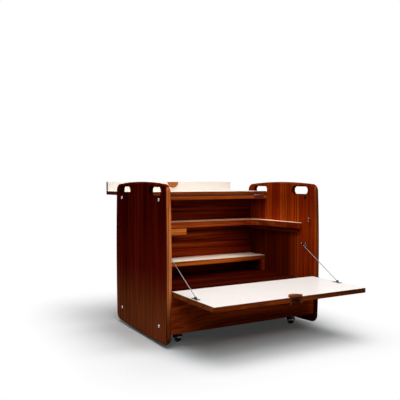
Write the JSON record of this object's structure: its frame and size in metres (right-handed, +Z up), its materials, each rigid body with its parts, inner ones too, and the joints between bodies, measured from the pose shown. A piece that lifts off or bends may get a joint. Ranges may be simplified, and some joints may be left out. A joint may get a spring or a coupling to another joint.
{
  "type": "bar cart",
  "caption": "Rolling wooden bar cabinet with barrel-shaped side panels, a drop-front flap on sliding stays, a fold-back lid, inner shelves and a shallow drawer.",
  "frame": {"origin": "on the floor, at the middle of the case's width and depth", "axes": "+X to the right as seen from the front, +Y from the front to the back, +Z up; the flap opens towards -Y"},
  "size_m": [1.028, 1.3855, 0.8685],
  "materials": {
    "rosewood_panel": "satin lacquered dark rosewood veneer",
    "rosewood_front": "satin lacquered rosewood veneer",
    "rosewood_inside": "satin rosewood veneer",
    "laminate": "smooth white laminate",
    "chrome": "polished",
    "rest_rubber": "matte",
    "wheel_black": "matte"
  },
  "bodies": {
    "case": {"side_panel_left": "rosewood_panel", "side_panel_right": "rosewood_panel", "panel_bolts_left": "chrome", "panel_bolts_right": "chrome", "bottom_board": "rosewood_inside", "case_floor": "rosewood_inside", "lower_front_panel": "rosewood_front", "back_panel": "rosewood_inside", "rear_top_strip": "rosewood_front", "upper_shelf": "rosewood_inside", "upper_shelf_laminate": "laminate", "lower_shelf": "rosewood_inside", "lower_shelf_laminate": "laminate", "shelf_support_left": "rosewood_inside", "shelf_support_right": "rosewood_inside", "shelf_cleat_left": "rosewood_inside", "shelf_cleat_right": "rosewood_inside", "drawer_runners": "rosewood_inside", "lid_hinge_fixed_left": "chrome", "lid_hinge_fixed_right": "chrome", "flap_hinge_fixed_left": "chrome", "flap_hinge_fixed_right": "chrome", "stay_bracket_left": "chrome", "stay_bracket_right": "chrome", "flap_stop_left": "rosewood_inside", "flap_stop_right": "rosewood_inside", "lid_rest_strip": "rest_rubber", "caster_plate_front_left": "chrome", "caster_plate_front_right": "chrome", "caster_plate_rear_left": "chrome", "caster_plate_rear_right": "chrome"},
    "flap": {"flap_board": "rosewood_front", "flap_laminate": "laminate", "flap_pull_half": "rosewood_front", "flap_hinge_moving_left": "chrome", "flap_hinge_moving_right": "chrome", "stay_flap_bracket_left": "chrome", "stay_flap_bracket_right": "chrome"},
    "lid": {"lid_board": "rosewood_front", "lid_apron": "rosewood_front", "lid_laminate": "laminate", "apron_laminate": "laminate", "lid_pull_half": "rosewood_front", "lid_hinge_moving_left": "chrome", "lid_hinge_moving_right": "chrome"},
    "drawer": {"drawer_front": "rosewood_front", "drawer_box": "rosewood_inside"},
    "eye_left": {"stay_eye_left": "chrome"},
    "eye_right": {"stay_eye_right": "chrome"},
    "rod_left": {"stay_rod_left": "chrome"},
    "rod_right": {"stay_rod_right": "chrome"},
    "hood_front_left": {"caster_hood_front_left": "chrome"},
    "hood_front_right": {"caster_hood_front_right": "chrome"},
    "hood_rear_left": {"caster_hood_rear_left": "chrome"},
    "hood_rear_right": {"caster_hood_rear_right": "chrome"},
    "wheel_front_left": {"caster_wheel_front_left": "wheel_black"},
    "wheel_front_right": {"caster_wheel_front_right": "wheel_black"},
    "wheel_rear_left": {"caster_wheel_rear_left": "wheel_black"},
    "wheel_rear_right": {"caster_wheel_rear_right": "wheel_black"}
  },
  "joints": [
    {"name": "flap_hinge", "type": "hinge", "parent": "case", "child": "flap", "pos_m": [0, -0.344, 0.27], "axis": [-1, 0, 0], "range_deg": [0, 90]},
    {"name": "lid_hinge", "type": "hinge", "parent": "case", "child": "lid", "pos_m": [0, 0.135, 0.781], "axis": [1, 0, 0], "range_deg": [0, 180]},
    {"name": "drawer_slide", "type": "slide", "parent": "case", "child": "drawer", "axis": [0, -1, 0], "range_m": [0, 0.08]},
    {"name": "stay_eye_left_turn", "type": "hinge", "parent": "case", "child": "eye_left", "pos_m": [-0.458, -0.26856, 0.48304], "axis": [-1, 0, 0], "range_deg": [0, 45]},
    {"name": "stay_eye_right_turn", "type": "hinge", "parent": "case", "child": "eye_right", "pos_m": [0.458, -0.26856, 0.48304], "axis": [-1, 0, 0], "range_deg": [0, 45]},
    {"name": "stay_rod_left_turn", "type": "hinge", "parent": "flap", "child": "rod_left", "pos_m": [-0.458, -0.56703, 0.3065], "axis": [1, 0, 0], "range_deg": [0, 45]},
    {"name": "stay_rod_right_turn", "type": "hinge", "parent": "flap", "child": "rod_right", "pos_m": [0.458, -0.56703, 0.3065], "axis": [1, 0, 0], "range_deg": [0, 45]},
    {"name": "swivel_front_left", "type": "hinge", "parent": "case", "child": "hood_front_left", "pos_m": [-0.388, -0.255, 0.055], "axis": [0, 0, 1], "continuous": true},
    {"name": "swivel_front_right", "type": "hinge", "parent": "case", "child": "hood_front_right", "pos_m": [0.388, -0.255, 0.055], "axis": [0, 0, 1], "continuous": true},
    {"name": "swivel_rear_left", "type": "hinge", "parent": "case", "child": "hood_rear_left", "pos_m": [-0.388, 0.255, 0.055], "axis": [0, 0, 1], "continuous": true},
    {"name": "swivel_rear_right", "type": "hinge", "parent": "case", "child": "hood_rear_right", "pos_m": [0.388, 0.255, 0.055], "axis": [0, 0, 1], "continuous": true},
    {"name": "spin_front_left", "type": "hinge", "parent": "hood_front_left", "child": "wheel_front_left", "pos_m": [-0.388, -0.241, 0.024], "axis": [1, 0, 0], "continuous": true},
    {"name": "spin_front_right", "type": "hinge", "parent": "hood_front_right", "child": "wheel_front_right", "pos_m": [0.388, -0.241, 0.024], "axis": [1, 0, 0], "continuous": true},
    {"name": "spin_rear_left", "type": "hinge", "parent": "hood_rear_left", "child": "wheel_rear_left", "pos_m": [-0.388, 0.269, 0.024], "axis": [1, 0, 0], "continuous": true},
    {"name": "spin_rear_right", "type": "hinge", "parent": "hood_rear_right", "child": "wheel_rear_right", "pos_m": [0.388, 0.269, 0.024], "axis": [1, 0, 0], "continuous": true}
  ],
  "couplings": [
    {"joint": "stay_eye_left_turn", "follows": "flap_hinge", "ratio": 0.5},
    {"joint": "stay_eye_right_turn", "follows": "flap_hinge", "ratio": 0.5},
    {"joint": "stay_rod_left_turn", "follows": "flap_hinge", "ratio": 0.5},
    {"joint": "stay_rod_right_turn", "follows": "flap_hinge", "ratio": 0.5}
  ]
}
